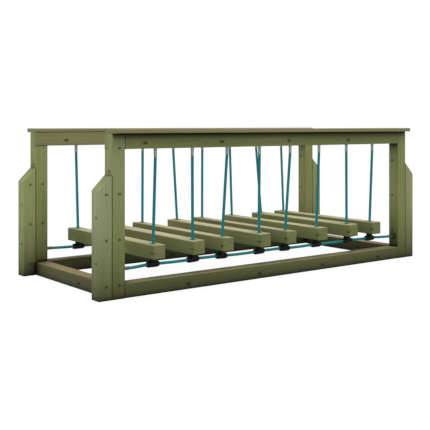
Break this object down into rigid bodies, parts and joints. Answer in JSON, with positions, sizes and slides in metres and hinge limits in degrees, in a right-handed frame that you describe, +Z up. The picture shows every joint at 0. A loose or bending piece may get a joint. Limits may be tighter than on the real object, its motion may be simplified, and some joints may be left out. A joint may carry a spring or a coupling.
{
  "type": "playground bridge",
  "caption": "Timber playground bridge: loose square beams hang across it on teal ropes from two handrail beams, with posts and rails on the ground.",
  "frame": {"origin": "on the ground at the middle of the bridge", "axes": "+X along the bridge from the left entry to the right one, +Y across it to the back, +Z up"},
  "size_m": [3.0006, 1.28, 1.0703],
  "materials": {
    "treated_timber": "pressure treated softwood, dull olive green",
    "teal_rope": "stranded polypropylene rope, teal",
    "black_plastic": "moulded connector, near black, matt",
    "ferrule_steel": "pressed metal sleeve, dull silver"
  },
  "bodies": {
    "frame": {"main_post_front_left": "treated_timber", "main_post_front_right": "treated_timber", "main_post_back_left": "treated_timber", "main_post_back_right": "treated_timber", "buttress_post_front_left": "treated_timber", "buttress_post_front_right": "treated_timber", "buttress_post_back_left": "treated_timber", "buttress_post_back_right": "treated_timber", "top_beam_front": "treated_timber", "top_beam_back": "treated_timber", "cap_board_front": "treated_timber", "cap_board_back": "treated_timber", "side_rail_front": "treated_timber", "side_rail_back": "treated_timber", "end_rail_left": "treated_timber", "end_rail_right": "treated_timber", "bottom_rope_front": "teal_rope", "bottom_rope_back": "teal_rope"},
    "step_1": {"swing_beam_1": "treated_timber", "hanging_rope_front_1": "teal_rope", "hanging_rope_back_1": "teal_rope"},
    "step_2": {"swing_beam_2": "treated_timber", "hanging_rope_front_2": "teal_rope", "hanging_rope_back_2": "teal_rope"},
    "step_3": {"swing_beam_3": "treated_timber", "hanging_rope_front_3": "teal_rope", "hanging_rope_back_3": "teal_rope"},
    "step_4": {"swing_beam_4": "treated_timber", "hanging_rope_front_4": "teal_rope", "hanging_rope_back_4": "teal_rope"},
    "step_5": {"swing_beam_5": "treated_timber", "hanging_rope_front_5": "teal_rope", "hanging_rope_back_5": "teal_rope"},
    "step_6": {"swing_beam_6": "treated_timber", "hanging_rope_front_6": "teal_rope", "hanging_rope_back_6": "teal_rope"},
    "step_7": {"swing_beam_7": "treated_timber", "hanging_rope_front_7": "teal_rope", "hanging_rope_back_7": "teal_rope"},
    "step_8": {"swing_beam_8": "treated_timber", "hanging_rope_front_8": "teal_rope", "hanging_rope_back_8": "teal_rope"}
  },
  "joints": [
    {"name": "sway_1", "type": "hinge", "parent": "frame", "child": "step_1", "pos_m": [-1.05, 0, 0.888], "axis": [0, -1, 0], "range_deg": [-5.1, 4.9], "deforming": ["bottom_rope_front", "bottom_rope_back"]},
    {"name": "sway_2", "type": "hinge", "parent": "frame", "child": "step_2", "pos_m": [-0.75, 0, 0.888], "axis": [0, -1, 0], "range_deg": [-7.3, 2.7]},
    {"name": "sway_3", "type": "hinge", "parent": "frame", "child": "step_3", "pos_m": [-0.45, 0, 0.888], "axis": [0, -1, 0], "range_deg": [-3, 7]},
    {"name": "sway_4", "type": "hinge", "parent": "frame", "child": "step_4", "pos_m": [-0.15, 0, 0.888], "axis": [0, -1, 0], "range_deg": [-6.9, 3.1]},
    {"name": "sway_5", "type": "hinge", "parent": "frame", "child": "step_5", "pos_m": [0.15, 0, 0.888], "axis": [0, -1, 0], "range_deg": [-2.7, 7.3]},
    {"name": "sway_6", "type": "hinge", "parent": "frame", "child": "step_6", "pos_m": [0.45, 0, 0.888], "axis": [0, -1, 0], "range_deg": [-4.9, 5.1]},
    {"name": "sway_7", "type": "hinge", "parent": "frame", "child": "step_7", "pos_m": [0.75, 0, 0.888], "axis": [0, -1, 0], "range_deg": [-8.3, 1.7]},
    {"name": "sway_8", "type": "hinge", "parent": "frame", "child": "step_8", "pos_m": [1.05, 0, 0.888], "axis": [0, -1, 0], "range_deg": [-5.2, 4.8]}
  ]
}
